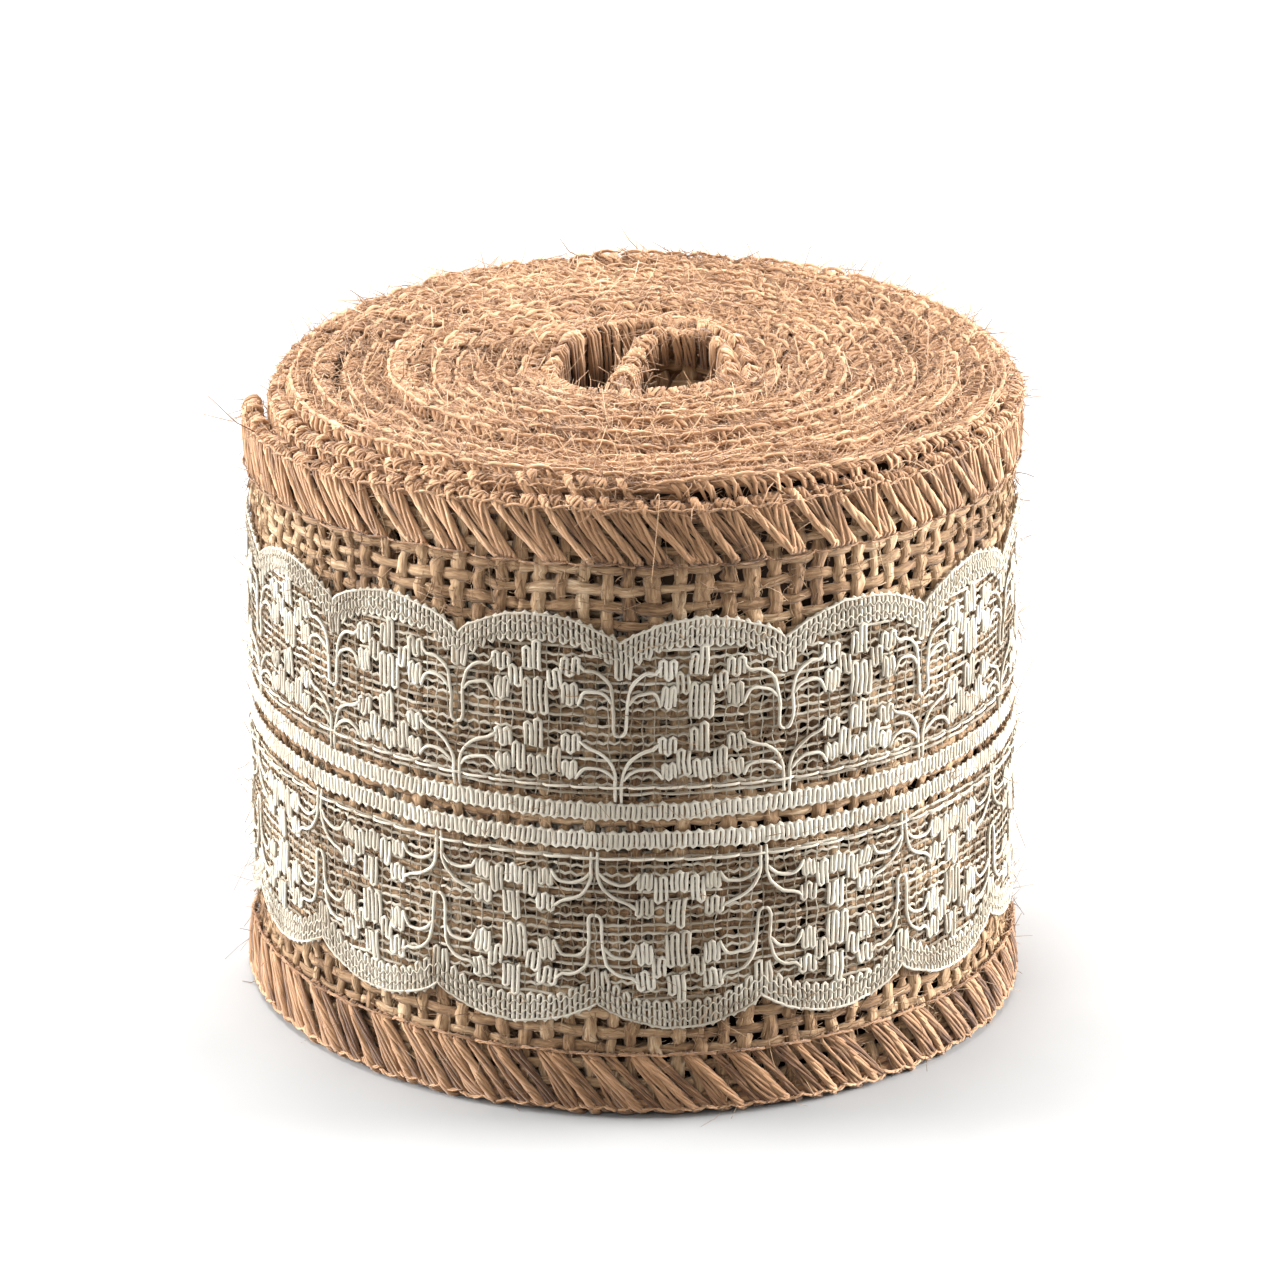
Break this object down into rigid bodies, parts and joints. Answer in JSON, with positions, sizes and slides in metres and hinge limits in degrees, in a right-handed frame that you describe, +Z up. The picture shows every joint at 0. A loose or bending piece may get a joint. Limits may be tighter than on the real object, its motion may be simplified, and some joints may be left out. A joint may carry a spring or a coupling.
{
  "type": "ribbon roll",
  "caption": "Coreless roll of jute burlap ribbon standing on its edge, both edges overlocked, with two lace trims sewn back to back along its outer face.",
  "frame": {"origin": "middle of the roll's footprint, on the surface that it stands on", "axes": "+Z up along the winding axis, -Y towards the side where the loose outer end begins, +X to the right of that side"},
  "size_m": [0.0758, 0.0728, 0.06],
  "materials": {
    "jute_burlap": "open plain weave of coarse, hairy jute yarn",
    "overlock_thread": "soft fuzzy tan thread in slanted overlock stitches",
    "cotton_lace": "ivory knitted cotton lace with satin stitched motifs",
    "sewing_thread": "matt ivory sewing thread"
  },
  "bodies": {
    "roll": {"roll_burlap": "jute_burlap", "roll_bottom_edge_face_thread": "overlock_thread", "roll_bottom_edge_back_thread": "overlock_thread", "roll_top_edge_face_thread": "overlock_thread", "roll_top_edge_back_thread": "overlock_thread", "roll_lower_lace": "cotton_lace", "roll_lower_lace_stitching": "sewing_thread", "roll_upper_lace": "cotton_lace", "roll_upper_lace_stitching": "sewing_thread"},
    "tail_root": {"tail_root_burlap": "jute_burlap", "tail_root_bottom_edge_face_thread": "overlock_thread", "tail_root_bottom_edge_back_thread": "overlock_thread", "tail_root_top_edge_face_thread": "overlock_thread", "tail_root_top_edge_back_thread": "overlock_thread", "tail_root_lower_lace": "cotton_lace", "tail_root_lower_lace_stitching": "sewing_thread", "tail_root_upper_lace": "cotton_lace", "tail_root_upper_lace_stitching": "sewing_thread"},
    "tail_middle": {"tail_middle_burlap": "jute_burlap", "tail_middle_bottom_edge_face_thread": "overlock_thread", "tail_middle_bottom_edge_back_thread": "overlock_thread", "tail_middle_top_edge_face_thread": "overlock_thread", "tail_middle_top_edge_back_thread": "overlock_thread", "tail_middle_lower_lace": "cotton_lace", "tail_middle_lower_lace_stitching": "sewing_thread", "tail_middle_upper_lace": "cotton_lace", "tail_middle_upper_lace_stitching": "sewing_thread"},
    "tail_tip": {"tail_tip_burlap": "jute_burlap", "tail_tip_bottom_edge_face_thread": "overlock_thread", "tail_tip_bottom_edge_back_thread": "overlock_thread", "tail_tip_top_edge_face_thread": "overlock_thread", "tail_tip_top_edge_back_thread": "overlock_thread", "tail_tip_lower_lace": "cotton_lace", "tail_tip_lower_lace_stitching": "sewing_thread", "tail_tip_upper_lace": "cotton_lace", "tail_tip_upper_lace_stitching": "sewing_thread"},
    "core_flap": {"core_flap_burlap": "jute_burlap", "core_flap_bottom_edge_face_thread": "overlock_thread", "core_flap_bottom_edge_back_thread": "overlock_thread", "core_flap_top_edge_face_thread": "overlock_thread", "core_flap_top_edge_back_thread": "overlock_thread", "core_flap_lower_lace": "cotton_lace", "core_flap_lower_lace_stitching": "sewing_thread", "core_flap_upper_lace": "cotton_lace", "core_flap_upper_lace_stitching": "sewing_thread"}
  },
  "joints": [
    {"name": "tail_root_peel", "type": "hinge", "parent": "roll", "child": "tail_root", "pos_m": [-0.00162, -0.03629, 0.03], "axis": [0, 0, 1], "range_deg": [0, 35]},
    {"name": "tail_middle_peel", "type": "hinge", "parent": "tail_root", "child": "tail_middle", "pos_m": [-0.0186, -0.03077, 0.03], "axis": [0, 0, 1], "range_deg": [0, 35]},
    {"name": "tail_tip_peel", "type": "hinge", "parent": "tail_middle", "child": "tail_tip", "pos_m": [-0.03238, -0.0165, 0.03], "axis": [0, 0, 1], "range_deg": [0, 35]},
    {"name": "core_flap_swing", "type": "hinge", "parent": "roll", "child": "core_flap", "pos_m": [0.00495, 0.00613, 0.03], "axis": [0, 0, -1], "range_deg": [0, 15]}
  ]
}
